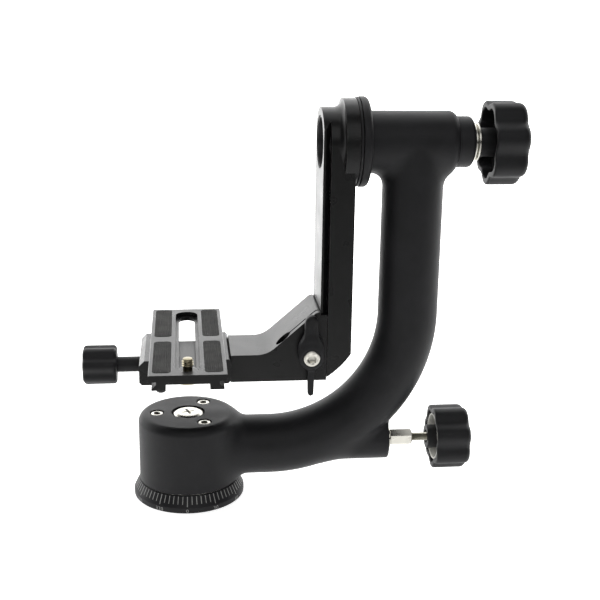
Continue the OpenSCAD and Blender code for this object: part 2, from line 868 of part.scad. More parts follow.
module camera_screw() {
    head_r = 7.4;
    head_h = 2.6;
    head_top = plate_channel_z - 0.1;
    color(brass) translate([0, camera_screw_y, 0])
    difference() {
        union() {
            translate([0, 0, head_top - head_h]) cylinder(r = head_r, h = head_h);
            translate([0, 0, head_top - eps]) cylinder(r = camera_neck_r, h = plate_top - head_top + eps);
            translate([0, 0, plate_top]) cylinder(r = camera_thread_r, h = 5);
        }
        translate([-head_r, -0.75, head_top - head_h - 1]) cube([2 * head_r, 1.5, 2.2]);
    }
}

pan_base();
tripod_insert();
pan_spindle();
spindle_screws();
glide_ring();
pan_washer();
pan_cap_screw();
arm_casting();
bearing_carrier();
pan_bearings();
housing_screws();
tilt_flange();
friction_ring();
tilt_bearings();
tilt_end_cap();
lock_hex_bush();
lock_washer();
brake_shoe();
lock_rod();
lock_insert();
lock_knob();
swing_arm();
tilt_spindle();
spindle_end_screw();
rail_stop_screw();
tilt_washers();
thrust_washer();
tilt_knob();
tilt_knob_nut();
platform_bracket();
clamp_body();
clamp_screws();
guide_pins();
clamp_stud();
jaw_springs();
lever_bush();
lever_screw();
clamp_lever();
clamp_jaw();
clamp_knob();
clamp_sleeve();
camera_plate();
plate_pads();
plate_stops();
screw_keeper();
camera_screw();
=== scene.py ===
import json
import math

import bmesh
import bpy
import numpy as np
from mathutils import Matrix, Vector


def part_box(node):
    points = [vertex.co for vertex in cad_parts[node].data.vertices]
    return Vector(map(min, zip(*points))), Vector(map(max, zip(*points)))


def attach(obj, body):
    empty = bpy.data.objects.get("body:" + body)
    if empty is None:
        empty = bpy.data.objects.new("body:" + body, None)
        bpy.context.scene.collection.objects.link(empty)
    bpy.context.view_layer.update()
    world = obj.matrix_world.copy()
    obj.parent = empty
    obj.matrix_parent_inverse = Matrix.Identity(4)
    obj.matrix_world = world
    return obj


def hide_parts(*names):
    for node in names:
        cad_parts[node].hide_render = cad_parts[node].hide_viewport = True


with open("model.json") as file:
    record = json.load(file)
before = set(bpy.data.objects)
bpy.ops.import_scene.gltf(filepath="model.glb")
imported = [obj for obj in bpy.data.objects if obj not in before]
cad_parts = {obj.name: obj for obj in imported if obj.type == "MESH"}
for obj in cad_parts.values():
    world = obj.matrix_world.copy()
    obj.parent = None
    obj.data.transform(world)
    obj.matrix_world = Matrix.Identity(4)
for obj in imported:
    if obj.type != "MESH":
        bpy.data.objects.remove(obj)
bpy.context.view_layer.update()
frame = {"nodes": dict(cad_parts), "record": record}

TURN = 2 * math.pi
MM = 0.001
# Direction of the dial's zero, and the circle of the housing's screws, in degrees and millimetres
DIAL_ZERO = -92.5
SCREW_CIRCLE_R = 18.1
SCREW_ANGLES = (180, 60, -60)
# Strength of the floor's glow beside the object, and what is added to it behind the object
GLOW_NEAR, GLOW_BACK = 0.8, 1.1

# Rotations that carry the +Z axis of a drawn shape to the named direction
TOWARDS = {
    "+Z": np.array([[1, 0, 0], [0, 1, 0], [0, 0, 1]]),
    "-Z": np.array([[1, 0, 0], [0, -1, 0], [0, 0, -1]]),
    "+X": np.array([[0, 0, 1], [0, 1, 0], [-1, 0, 0]]),
    "-X": np.array([[0, 0, -1], [0, -1, 0], [-1, 0, 0]]),
    "-Y": np.array([[1, 0, 0], [0, 0, -1], [0, 1, 0]]),
}


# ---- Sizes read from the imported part, in millimetres ----


def span(node):
    """Lowest and highest corner of a CAD node, as two arrays in millimetres."""
    low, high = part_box(node)
    return np.array(low) / MM, np.array(high) / MM


def middle(node):
    """Centre of a CAD node's box in millimetres."""
    low, high = span(node)
    return (low + high) / 2


# ---- Mesh tools ----


def build(name, points, faces, body, finish, replaces=(), smooth=32.0):
    """One piece from points in millimetres and four-cornered faces.

    Points that coincide are welded, a face with two equal corners becomes a triangle, and the
    whole shell is turned so that its signed volume is positive.
    """
    points = np.asarray(points, float).reshape(-1, 3)
    faces = np.asarray(faces).reshape(-1, 4)
    cells = np.round(points / 0.0005).astype(np.int64)
    _, first, index = np.unique(cells, axis=0, return_index=True, return_inverse=True)
    points, faces = points[first], index.reshape(-1)[faces]
    repeated = faces == np.roll(faces, -1, axis=1)
    quads = faces[repeated.sum(1) == 0]
    narrow = repeated.sum(1) == 1
    triangles = faces[narrow][~repeated[narrow]].reshape(-1, 3)
    corners = [
        points[quads[:, [0, 1, 2]]],
        points[quads[:, [0, 2, 3]]],
        points[triangles],
    ]
    volume = sum(np.einsum("ij,ij->", c[:, 0], np.cross(c[:, 1], c[:, 2])) for c in corners)
    if volume < 0:
        quads, triangles = quads[:, ::-1], triangles[:, ::-1]
    mesh = bpy.data.meshes.new(name)
    mesh.from_pydata((points * MM).tolist(), [], quads.tolist() + triangles.tolist())
    mesh.shade_smooth()
    mesh.set_sharp_from_angle(angle=math.radians(smooth))
    return adopt(name, mesh, body, finish, replaces)


def adopt(name, mesh, body, finish, replaces):
    """Puts a mesh into the scene with its finish and its body, and hides the CAD nodes that it stands for.
    """
    piece = bpy.data.objects.new(name, mesh)
    bpy.context.scene.collection.objects.link(piece)
    mesh.materials.clear()
    mesh.materials.append(FINISHES[finish])
    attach(piece, body)
    if replaces:
        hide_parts(*replaces)
    return piece


def place(points, axis="+Z", at=(0, 0, 0), turn=0.0):
    """Turns drawn points by turn degrees about Z, points their Z along axis and moves them to at."""
    a = math.radians(turn)
    spin = np.array([[math.cos(a), -math.sin(a), 0], [math.sin(a), math.cos(a), 0], [0, 0, 1]])
    return points @ (TOWARDS[axis] @ spin).T + np.array(at, float)


def skin(rows, columns, ring=False, open_columns=False):
    """Quads between neighbouring rows of a grid whose columns run right round.

    A ring also joins its last row to its first; open_columns leaves the column seam open.
    """
    i = np.arange(rows if ring else rows - 1)[:, None]
    j = np.arange(columns - 1 if open_columns else columns)[None, :]
    up, along = (i + 1) % rows, (j + 1) % columns
    grid = [i * columns + j, i * columns + along, up * columns + along, up * columns + j]
    return np.stack([np.broadcast_to(g, (i.size, j.size)) for g in grid], -1).reshape(-1, 4)


def gather(parts):
    """Joins several (points, faces) pairs into one."""
    points, faces, count = [], [], 0
    for p, f in parts:
        p = np.asarray(p, float).reshape(-1, 3)
        points.append(p)
        faces.append(np.asarray(f).reshape(-1, 4) + count)
        count += len(p)
    return np.concatenate(points), np.concatenate(faces)


def outline(corners, closed=True, steps=4):
    """A polyline of (across, up, rounding) corners, each replaced by a true arc.

    The arc is the rational quadratic through the two tangent points, whose middle weight is
    the sine of half the corner's angle.
    """
    p = np.array([c[:2] for c in corners], float)
    rounding = [c[2] if len(c) > 2 else 0 for c in corners]
    s = np.linspace(0, 1, steps + 1)[:, None]
    points = []
    for k, radius in enumerate(rounding):
        last = k in (0, len(p) - 1) and not closed
        if radius == 0 or last:
            points.append(p[k][None])
            continue
        back, on = p[k - 1] - p[k], p[(k + 1) % len(p)] - p[k]
        room = 0.49 * min(np.hypot(*back), np.hypot(*on))
        back, on = back / np.hypot(*back), on / np.hypot(*on)
        half = math.acos(np.clip(back @ on, -1, 1)) / 2
        cut = min(radius / math.tan(half), room)
        a, b, w = p[k] + back * cut, p[k] + on * cut, math.sin(half)
        weights = (1 - s) ** 2, 2 * w * s * (1 - s), s**2
        points.append((weights[0] * a + weights[1] * p[k] + weights[2] * b) / sum(weights))
    return np.concatenate(points)


def plain(angle):
    """A round plan: the same radius at every angle."""
    return np.ones_like(angle)


def hexagon(angle):
    """A six-sided plan whose corners lie on the circle."""
    return math.cos(math.pi / 6) / np.cos(angle % (math.pi / 3) - math.pi / 6)


def cross(arm_share):
    """A cross-shaped plan: four arms as long as the radius and arm_share of it in half width."""

    def plan(angle):
        c, s = np.maximum(np.abs(np.cos(angle)), 1e-6), np.maximum(np.abs(np.sin(angle)), 1e-6)
        one = np.minimum(1 / c, arm_share / s)
        other = np.minimum(1 / s, arm_share / c)
        return np.maximum(one, other)

    return plan


def slit(half_share):
    """A straight screwdriver slot: as long as the radius and half_share of it in half width."""

    def plan(angle):
        c, s = np.maximum(np.abs(np.cos(angle)), 1e-6), np.maximum(np.abs(np.sin(angle)), 1e-6)
        return np.minimum(1 / c, half_share / s)

    return plan


def lobed(count, depth_share, narrowness):
    """A plan with count crests at the full radius and smooth valleys between them.

    Valleys are a raised cosine to the power of narrowness, so the crests stay broad.
    """

    def plan(angle):
        dip = (0.5 - 0.5 * np.cos(count * angle)) ** narrowness
        return 1 - depth_share * dip

    return plan


def turned(profile, plan=plain, shares=None, columns=96, ring=False):
    """A shape on the Z axis from (radius, height) rows.

    Each row's radius is multiplied by plan(angle) as far as its share, from 0, round, to 1.
    Rows of zero radius close the ends, and a ring closes onto its own first row.
    """
    profile = np.asarray(profile, float)
    shares = np.zeros(len(profile)) if shares is None else np.asarray(shares, float)
    angle = np.arange(columns) * TURN / columns
    radius = profile[:, :1] * (1 - shares[:, None] * (1 - plan(angle)[None]))
    height = np.broadcast_to(profile[:, 1:2], radius.shape)
    rows = np.stack([radius * np.cos(angle), radius * np.sin(angle), height], -1)
    return rows.reshape(-1, 3), skin(len(profile), columns, ring)


def collar(r_out, r_in, z0, z1, edge=0.3, rear_edge=None):
    """A turned ring with rounded rims: the outer rim at z1 by edge, the one at z0 by rear_edge."""
    rear = edge if rear_edge is None else rear_edge
    rows = outline([(r_in, z0, 0.15), (r_out, z0, rear), (r_out, z1, edge), (r_in, z1, 0.15)])
    return turned(rows, ring=True)


def thread(r_crest, depth, pitch, z0, z1, inward=False, columns=48):
    """Rows of a screw thread: the radius is a rounded ridge in z / pitch less the angle's share
    of a turn, faded out over the last three quarters of a pitch at each end."""
    per_pitch = 8
    z = np.linspace(z0, z1, max(3, int(round((z1 - z0) / pitch * per_pitch)) + 1))
    angle = np.arange(columns) * TURN / columns
    phase = z[:, None] / pitch - angle[None] / TURN
    ridge = np.abs(((phase % 1) * 2) - 1)
    ridge = np.clip(ridge * 1.25 - 0.1, 0, 1)
    fade = np.clip(np.minimum(z - z0, z1 - z) / (0.75 * pitch), 0, 1)[:, None]
    radius = r_crest - depth * (1 - ridge * fade) if not inward else r_crest + depth * ridge * fade
    height = np.broadcast_to(z[:, None], radius.shape)
    return np.stack([radius * np.cos(angle), radius * np.sin(angle), height], -1)


def stack(*blocks):
    """Puts (row, column, xyz) blocks of the same column count on top of one another."""
    rows = np.concatenate(blocks)
    return rows.reshape(-1, 3), skin(rows.shape[0], rows.shape[1])


def circle_rows(profile, columns=48):
    """Round rows for stack(), from (radius, height) pairs."""
    profile = np.asarray(profile, float)
    angle = np.arange(columns) * TURN / columns
    x, y = profile[:, :1] * np.cos(angle), profile[:, :1] * np.sin(angle)
    return np.stack([x, y, np.broadcast_to(profile[:, 1:2], x.shape)], -1)


def contour(distance, low, high, step):
    """Closed surface where distance(x, y, z) is zero, by dual contouring on a cubic grid.

    Every grid edge that crosses the surface gives a point and the field's gradient there. Each
    cell's vertex is the point nearest to the planes of its crossings, found from their normal
    equations, so smooth faces stay smooth and rims stay sharp. Each crossing makes one quad
    between the four cells round its edge.
    """
    axes = [np.arange(a, b + step, step) for a, b in zip(low, high)]
    shape = np.array([len(a) for a in axes])
    value = distance(*np.meshgrid(*axes, indexing="ij", sparse=True))
    flat, cells = value.reshape(-1), int(shape.prod())
    strides = np.array([shape[1] * shape[2], shape[2], 1])
    sums, centre, count, quads = np.zeros((9, cells)), np.zeros((3, cells)), np.zeros(cells), []
    for axis in range(3):
        first = [slice(1, -1)] * 3
        start = np.ravel_multi_index(
            np.meshgrid(*[np.arange(n)[s] for n, s in zip(shape, first)], indexing="ij"), shape
        ).reshape(-1)
        a, b = flat[start], flat[start + strides[axis]]
        start = start[(a < 0) != (b < 0)]
        a, b = flat[start], flat[start + strides[axis]]
        point = np.stack(np.unravel_index(start, shape), -1).astype(float)
        point[:, axis] += a / (a - b)
        point = point * step + np.array(low)
        e = 0.02 * step
        slope = np.stack([
            distance(*(point + e * d).T) - distance(*(point - e * d).T) for d in np.eye(3)
        ], -1)
        slope /= np.maximum(np.linalg.norm(slope, axis=1, keepdims=True), 1e-12)
        reach = np.einsum("ij,ij->i", slope, point)
        one, two = strides[(axis + 1) % 3], strides[(axis + 2) % 3]
        ring = np.stack([start, start - one, start - one - two, start - two], -1)
        quads.append(np.where((a < 0)[:, None], ring, ring[:, ::-1]))
        entries = [slope[:, i] * slope[:, j] for i, j in ((0, 0), (0, 1), (0, 2), (1, 1), (1, 2), (2, 2))]
        entries += [slope[:, i] * reach for i in range(3)]
        for cell in ring.T:
            for k, entry in enumerate(entries):
                sums[k] += np.bincount(cell, entry, cells)
            for k in range(3):
                centre[k] += np.bincount(cell, point[:, k], cells)
            count += np.bincount(cell, minlength=cells)
    used = np.nonzero(count)[0]
    mean = (centre[:, used] / count[used]).T
    s = sums[:, used]
    matrix = s[[0, 1, 2, 1, 3, 4, 2, 4, 5]].T.reshape(-1, 3, 3)
    pull = 0.08
    right = s[6:].T - np.einsum("nij,nj->ni", matrix, mean)
    shift = np.linalg.solve(matrix + pull * np.eye(3), right[..., None])[..., 0]
    vertex = mean + np.clip(shift, -step, step)
    number = np.full(cells, -1)
    number[used] = np.arange(len(used))
    return vertex, number[np.concatenate(quads)]


def softened(name, node, body, finish, width, segments=2):
    """A copy of a CAD node with welded points, flat faces joined up, and its edges rounded."""
    mesh = frame["nodes"][node].data.copy()
    mesh.name = name
    shell = bmesh.new()
    shell.from_mesh(mesh)
    bmesh.ops.remove_doubles(shell, verts=shell.verts, dist=2e-6)
    bmesh.ops.dissolve_limit(
        shell, angle_limit=math.radians(0.6), verts=shell.verts, edges=shell.edges
    )
    shell.to_mesh(mesh)
    shell.free()
    mesh.shade_smooth()
    piece = adopt(name, mesh, body, finish, (node,))
    bevel = piece.modifiers.new("edges", "BEVEL")
    bevel.width = width * MM
    bevel.segments = segments
    bevel.limit_method = "ANGLE"
    bevel.angle_limit = math.radians(28)
    bevel.miter_outer = "MITER_ARC"
    bevel.harden_normals = False
    weighted = piece.modifiers.new("flats", "WEIGHTED_NORMAL")
    weighted.keep_sharp = True
    weighted.weight = 80
    return piece


# ---- Shader groups ----


def node_group(name, inputs, outputs):
    """An empty shader group with named sockets, and its input and output nodes."""
    group = bpy.data.node_groups.new(name, "ShaderNodeTree")
    for label, kind, value in inputs:
        made = group.interface.new_socket(name=label, in_out="INPUT", socket_type=kind)
        if value is not None:
            made.default_value = value
    for label, kind in outputs:
        group.interface.new_socket(name=label, in_out="OUTPUT", socket_type=kind)
    return group, group.nodes.new("NodeGroupInput"), group.nodes.new("NodeGroupOutput")


def add(tree, kind, links=(), **values):
    """A node with its properties set and links made from (socket, source) pairs."""
    made = tree.nodes.new(kind)
    for key, value in values.items():
        setattr(made, key, value)
    for socket, source in links:
        if isinstance(source, bpy.types.NodeSocket):
            tree.links.new(source, made.inputs[socket])
        else:
            made.inputs[socket].default_value = source
    return made


def math_node(tree, operation, *sources):
    """Output of an arithmetic node fed by the given sockets or numbers."""
    return add(tree, "ShaderNodeMath", enumerate(sources), operation=operation).outputs[0]


def grain_group():
    """Fine surface texture: two noises added, whose scale is in grains per metre."""
    group, given, out = node_group(
        "fine_grain",
        [("Grains per metre", "NodeSocketFloat", 2500.0), ("Coarse share", "NodeSocketFloat", 0.4)],
        [("Height", "NodeSocketFloat"), ("Patch", "NodeSocketFloat")],
    )
    where = add(group, "ShaderNodeTexCoord").outputs["Object"]
    fine = add(group, "ShaderNodeTexNoise", [
        ("Vector", where), ("Scale", given.outputs[0]), ("Detail", 2.0), ("Roughness", 0.55)])
    coarse_scale = math_node(group, "MULTIPLY", given.outputs[0], 0.22)
    coarse = add(group, "ShaderNodeTexNoise", [
        ("Vector", where), ("Scale", coarse_scale), ("Detail", 1.0)])
    patch = add(group, "ShaderNodeTexNoise", [("Vector", where), ("Scale", 55.0), ("Detail", 3.0)])
    mixed = math_node(group, "MULTIPLY", coarse.outputs[0], given.outputs[1])
    total = math_node(group, "ADD", fine.outputs[0], mixed)
    group.links.new(total, out.inputs["Height"])
    group.links.new(patch.outputs[0], out.inputs["Patch"])
    return group


def edge_group():
    """Mask of worn rims: how far a rounded normal leans from the true one, broken up by noise."""
    group, given, out = node_group(
        "worn_edges",
        [("Reach", "NodeSocketFloat", 0.0004), ("Amount", "NodeSocketFloat", 0.5)],
        [("Mask", "NodeSocketFloat")],
    )
    soft = add(group, "ShaderNodeBevel", [("Radius", given.outputs[0])], samples=4)
    true = add(group, "ShaderNodeNewGeometry").outputs["Normal"]
    dot = add(group, "ShaderNodeVectorMath", [(0, soft.outputs[0]), (1, true)], operation="DOT_PRODUCT")
    lean = math_node(group, "SUBTRACT", 1.0, dot.outputs["Value"])
    where = add(group, "ShaderNodeTexCoord").outputs["Object"]
    noise = add(group, "ShaderNodeTexNoise", [("Vector", where), ("Scale", 420.0), ("Detail", 4.0)])
    rough = add(group, "ShaderNodeMapRange", [
        ("Value", noise.outputs[0]), ("From Min", 0.42), ("From Max", 0.62)])
    strong = math_node(group, "MULTIPLY", lean, 9.0)
    broken = math_node(group, "MULTIPLY", strong, rough.outputs[0])
    kept = math_node(group, "MULTIPLY", broken, given.outputs[1])
    limited = add(group, "ShaderNodeClamp", [("Value", kept)])
    group.links.new(limited.outputs[0], out.inputs["Mask"])
    return group


def dust_group():
    """Mask of thin dust: faces that look up, times a patchy noise."""
    group, given, out = node_group(
        "settled_dust", [("Amount", "NodeSocketFloat", 0.2)], [("Mask", "NodeSocketFloat")]
    )
    true = add(group, "ShaderNodeNewGeometry").outputs["Normal"]
    up = add(group, "ShaderNodeSeparateXYZ", [(0, true)]).outputs["Z"]
    facing = add(group, "ShaderNodeMapRange", [("Value", up), ("From Min", 0.25), ("From Max", 1.0)])
    where = add(group, "ShaderNodeTexCoord").outputs["Object"]
    noise = add(group, "ShaderNodeTexNoise", [("Vector", where), ("Scale", 90.0), ("Detail", 6.0)])
    patch = add(group, "ShaderNodeMapRange", [
        ("Value", noise.outputs[0]), ("From Min", 0.4), ("From Max", 0.75)])
    both = math_node(group, "MULTIPLY", facing.outputs[0], patch.outputs[0])
    kept = math_node(group, "MULTIPLY", both, given.outputs[0])
    group.links.new(kept, out.inputs["Mask"])
    return group


GRAIN, EDGES, DUST = grain_group(), edge_group(), dust_group()


def finish(name, color, worn, roughness, spread, metallic=0.0, ior=1.5, grains=2500.0,
           relief=0.00004, coarse=0.4, wear=0.2, reach=0.0004, dust=0.0):
    """A painted, anodised, moulded or metal finish built on the shared groups.

    The base colour turns to worn at rims and to pale dust on top, the roughness wanders by
    spread over the patches, and relief is the height of the grain in metres.
    """
    material = bpy.data.materials.new(name)
    material.use_nodes = True
    tree = material.node_tree
    shader = tree.nodes["Principled BSDF"]
    shader.inputs["Metallic"].default_value = metallic
    shader.inputs["IOR"].default_value = ior
    grain = add(tree, "ShaderNodeGroup", node_tree=GRAIN)
    grain.inputs[0].default_value = grains
    grain.inputs[1].default_value = coarse
    edges = add(tree, "ShaderNodeGroup", node_tree=EDGES)
    edges.inputs[0].default_value = reach
    edges.inputs[1].default_value = wear
    settled = add(tree, "ShaderNodeGroup", node_tree=DUST)
    settled.inputs[0].default_value = dust
    tint = add(tree, "ShaderNodeMapRange", [
        ("Value", grain.outputs["Patch"]), ("From Min", 0.3), ("From Max", 0.7),
        ("To Min", 0.8), ("To Max", 1.2)])
    base = add(tree, "ShaderNodeVectorMath", [(0, color), (1, tint.outputs[0])], operation="MULTIPLY")
    aged = add(tree, "ShaderNodeMix", data_type="RGBA")
    tree.links.new(edges.outputs[0], aged.inputs["Factor"])
    tree.links.new(base.outputs[0], aged.inputs[6])
    aged.inputs[7].default_value = (*worn, 1)
    dusty = add(tree, "ShaderNodeMix", data_type="RGBA")
    tree.links.new(settled.outputs[0], dusty.inputs["Factor"])
    tree.links.new(aged.outputs[2], dusty.inputs[6])
    dusty.inputs[7].default_value = (0.35, 0.34, 0.32, 1)
    tree.links.new(dusty.outputs[2], shader.inputs["Base Color"])
    wander = add(tree, "ShaderNodeMapRange", [
        ("Value", grain.outputs["Patch"]), ("From Min", 0.3), ("From Max", 0.7),
        ("To Min", roughness - spread), ("To Max", roughness + spread)])
    tree.links.new(wander.outputs[0], shader.inputs["Roughness"])
    bump = add(tree, "ShaderNodeBump", [
        ("Height", grain.outputs["Height"]), ("Distance", relief), ("Strength", 1.0)])
    tree.links.new(bump.outputs[0], shader.inputs["Normal"])
    return material


FINISHES = {
    "powder_coat": finish(
        "powder_coat", (0.0125, 0.0125, 0.0138), (0.05, 0.05, 0.052), 0.5, 0.04, ior=1.3,
        grains=2200, relief=0.00004),
    "anodised": finish(
        "anodised", (0.0075, 0.0075, 0.0076), (0.2, 0.2, 0.2), 0.3, 0.04, ior=1.31,
        grains=5200, relief=0.000012, coarse=0.25, reach=0.0003),
    "moulded_nylon": finish(
        "moulded_nylon", (0.0115, 0.0115, 0.0125), (0.03, 0.03, 0.03), 0.5, 0.05, ior=1.3,
        grains=3200, relief=0.00002, coarse=0.3),
    "pad_rubber": finish(
        "pad_rubber", (0.03, 0.03, 0.029), (0.06, 0.06, 0.06), 0.85, 0.05, ior=1.25,
        grains=3800, relief=0.00003, dust=0.08),
    "black_oxide": finish(
        "black_oxide", (0.015, 0.015, 0.016), (0.15, 0.15, 0.15), 0.35, 0.05, ior=1.5,
        grains=3000, relief=0.00001),
    "bright_nickel": finish(
        "bright_nickel", (0.6, 0.585, 0.53), (0.7, 0.69, 0.65), 0.28, 0.05, metallic=1.0,
        grains=2600, relief=0.000006, dust=0.02),
    "turned_steel": finish(
        "turned_steel", (0.3, 0.29, 0.245), (0.45, 0.44, 0.4), 0.36, 0.06, metallic=1.0,
        grains=2000, relief=0.000008, dust=0.02),
    "turned_brass": finish(
        "turned_brass", (0.36, 0.32, 0.22), (0.6, 0.55, 0.42), 0.34, 0.06, metallic=1.0,
        grains=2000, relief=0.000008, dust=0.02),
    "raw_aluminium": finish(
        "raw_aluminium", (0.62, 0.62, 0.63), (0.75, 0.75, 0.75), 0.34, 0.06, metallic=1.0,
        grains=1800, relief=0.00001, dust=0.02),
    "pale_nylon": finish(
        "pale_nylon", (0.62, 0.61, 0.56), (0.7, 0.69, 0.64), 0.45, 0.05, ior=1.5,
        grains=2600, relief=0.00002, wear=0.1, dust=0.05),
    "scale_paint": finish(
        "scale_paint", (0.3, 0.3, 0.29), (0.2, 0.2, 0.2), 0.6, 0.05, ior=1.4,
        grains=5000, relief=0.00001),
}
# The record's slot that each finish belongs to
SLOTS = {
    "powder_coat": "black_coat", "anodised": "black_anodised", "moulded_nylon": "knob_plastic",
    "pad_rubber": "pad_rubber", "black_oxide": "steel", "bright_nickel": "bright_steel",
    "turned_steel": "steel", "turned_brass": "brass", "raw_aluminium": "raw_aluminium",
    "pale_nylon": "pale_nylon", "scale_paint": "pale_nylon",
}
# Of two finishes that share a slot, inner parts that are shown as they are take the last one
FINISH_OF_SLOT = {slot: kind for kind, slot in SLOTS.items()}
FINISH_OF_SLOT["pale_nylon"] = "pale_nylon"

for subpart in frame["record"]["subparts"]:
    carried = frame["nodes"][subpart["node"]]
    carried.data.materials.clear()
    carried.data.materials.append(FINISHES[FINISH_OF_SLOT[subpart["material_slot"]]])


# ---- Base ----


def scale_base():
    """Turned foot: a short wall, a cone for the scale and a rounded upper rim."""
    foot_r, _, top = span("pan_base")[1]
    rows = outline([
        (8.0, 0, 0), (foot_r - 6, 0, 0), (foot_r - 5.6, 0.3, 0), (foot_r - 4.4, 0.3, 0),
        (foot_r - 4, 0, 0), (foot_r, 0, 0.6), (foot_r, 3.3, 0.35), (29.0, top, 0.7), (8.0, top, 0),
    ], steps=5)
    build("scale_base", *turned(rows, columns=144, ring=True), "base", "powder_coat", ("pan_base",))


def scale_marks():
    """Ticks every five degrees on the cone: thin raised strips, longer every thirty degrees."""
    wall_z, wall_r, top_z, top_r = 3.3, span("pan_base")[1][0], 9.5, 29.0
    proud, half_width = 0.05, 0.22
    count = 72
    angle = np.radians(DIAL_ZERO) + TURN * np.arange(count) / count
    long = np.arange(count) % 6 == 0
    bottom = np.where(long, 4.1, 5.2)
    z = np.stack([bottom, np.full(count, 9.2)], 1)
    r = wall_r + (top_r - wall_r) * (z - wall_z) / (top_z - wall_z)
    width = np.where(long, half_width * 1.15, half_width)
    parts = []
    for lift in (-0.1, proud):
        radius = r + lift
        out = np.stack([np.cos(angle), np.sin(angle)], 1)
        side = np.stack([-np.sin(angle), np.cos(angle)], 1) * width[:, None]
        for end in (0, 1):
            for way in (-1, 1):
                flat = out * radius[:, end:end + 1] + way * side
                parts.append(np.column_stack([flat, z[:, end]]))
    points = np.stack(parts, 1)
    corners = np.array([
        [0, 1, 3, 2], [4, 6, 7, 5], [0, 4, 5, 1], [2, 3, 7, 6], [0, 2, 6, 4], [1, 5, 7, 3]])
    faces = corners[None] + 8 * np.arange(count)[:, None, None]
    build("scale_ticks", points, faces, "base", "scale_paint")


def scale_numerals():
    """Numerals every thirty degrees, raised 0.05 mm from the wall and wrapped round it."""
    wall_r = span("pan_base")[1][0]
    points, faces, count = [], [], 0
    for k in range(12):
        text = bpy.data.curves.new("numeral", "FONT")
        text.body = str(30 * k)
        text.align_x = "CENTER"
        text.size = 3.1
        text.space_character = 1.1
        text.extrude = 0.06
        text.resolution_u = 3
        holder = bpy.data.objects.new("numeral", text)
        bpy.context.scene.collection.objects.link(holder)
        bpy.context.view_layer.update()
        mesh = bpy.data.meshes.new_from_object(holder)
        flat = np.empty(3 * len(mesh.vertices))
        mesh.vertices.foreach_get("co", flat)
        flat = flat.reshape(-1, 3)
        angle = math.radians(DIAL_ZERO + 30 * k) + flat[:, 0] / wall_r
        radius = wall_r - 0.02 + flat[:, 2]
        height = 0.6 + flat[:, 1]
        points.append(np.column_stack([radius * np.cos(angle), radius * np.sin(angle), height]))
        faces += [[count + v for v in p.vertices] for p in mesh.polygons]
        count += len(flat)
        bpy.data.objects.remove(holder)
        bpy.data.meshes.remove(mesh)
        bpy.data.curves.remove(text)
    mesh = bpy.data.meshes.new("scale_numerals")
    mesh.from_pydata((np.concatenate(points) * MM).tolist(), [], faces)
    adopt("scale_numerals", mesh, "base", "scale_paint", ())


def tripod_thread():
    """Steel insert with a real inside thread of 16 turns to the inch."""
    outer_r, _, top = span("tripod_insert")[1]
    thread_r, mouth_r, foot = 3.97, 4.9, 0.02
    inner = thread(thread_r, 0.7, 25.4 / 16, 0.6, top - 0.4, inward=True)
    mouth = circle_rows([(mouth_r, foot), (thread_r, 0.6)])
    outside = circle_rows([
        (thread_r, top - 0.4), (4.4, top), (outer_r, top), (outer_r, foot), (mouth_r, foot)])
    build("thread_insert", *stack(mouth, inner, outside), "base", "turned_steel", ("tripod_insert",))


def pan_screw():
    """Large pan-head screw: a domed head with a cross recess."""
    low, high = span("pan_cap_screw")
    head_r, z0, top = 8.7, 46.0, high[2] + 1.1
    rows = outline([
        (0, low[2], 0), (2.4, low[2], 0.3), (3.0, low[2] + 0.8, 0), (3.0, z0, 0), (head_r, z0, 0.25),
        (head_r, top - 0.9, 0.7), (7.0, top - 0.15, 1.5), (4.6, top, 0),
    ], closed=False, steps=5)
    recess = [(3.75, top - 0.02), (3.45, top - 0.3), (3.1, top - 1.2), (1.6, top - 1.75), (0, top - 1.8)]
    shares = [0] * len(rows) + [1, 1, 1, 1, 0]
    rows = np.concatenate([rows, recess])
    points, faces = turned(rows, cross(0.2), shares, columns=144)
    points = place(points, at=(0, 0, 0), turn=20)
    build("pan_screw", points, faces, "base", "bright_nickel", ("pan_cap_screw",), smooth=28)


def socket_cap(head_r, head_h, length, shank_r, hex_r, columns=72):
    """Socket-head cap screw, its head's underside at zero and its top at head_h."""
    depth = 0.75 * head_h
    rows = outline([
        (0, -length, 0), (shank_r, -length, 0.3), (shank_r, 0, 0), (head_r, 0, 0.15),
        (head_r, head_h, 0.14 * head_r), (hex_r * 1.12, head_h, 0),
    ], closed=False)
    recess = [(hex_r, head_h - 0.08 * head_h), (hex_r, head_h - depth), (0, head_h - depth - 0.5)]
    shares = [0] * len(rows) + [1, 1, 0]
    return turned(np.concatenate([rows, recess]), hexagon, shares, columns)


def housing_cap_screws():
    """Three socket-head screws in the housing's counterbores."""
    top = span("housing_screws")[1][2]
    points, faces = socket_cap(3.65, 4.0, 12, 2.0, 2.05)
    parts = []
    for angle in SCREW_ANGLES:
        a = math.radians(angle)
        at = (SCREW_CIRCLE_R * math.cos(a), SCREW_CIRCLE_R * math.sin(a), top - 3.6)
        parts.append((place(points, at=at, turn=angle * 0.4 + 11), faces))
    build("housing_cap_screws", *gather(parts), "arm", "bright_nickel", ("housing_screws",), smooth=28)


# ---- Arm ----


def rounded_overlap(side, ends, rounding):
    """Distance to where both distances are below zero, grown by rounding with a round rim."""
    outside = np.hypot(np.maximum(side, 0), np.maximum(ends, 0))
    return np.minimum(np.maximum(side, ends), 0) + outside - rounding


def rod(along, across, up, radius, start, end, rounding):
    """Distance to a cylinder whose axis is `along`, with both rims rounded."""
    side = np.sqrt(across**2 + up**2) - (radius - rounding)
    ends = np.abs(along - (start + end) / 2) - ((end - start) / 2 - rounding)
    return rounded_overlap(side, ends, rounding)


def melt(a, b, reach):
    """Union of two distances with a fillet that starts where they differ by reach."""
    near = np.maximum(reach - np.abs(a - b), 0)
    return np.minimum(a, b) - near * near / (4 * reach)


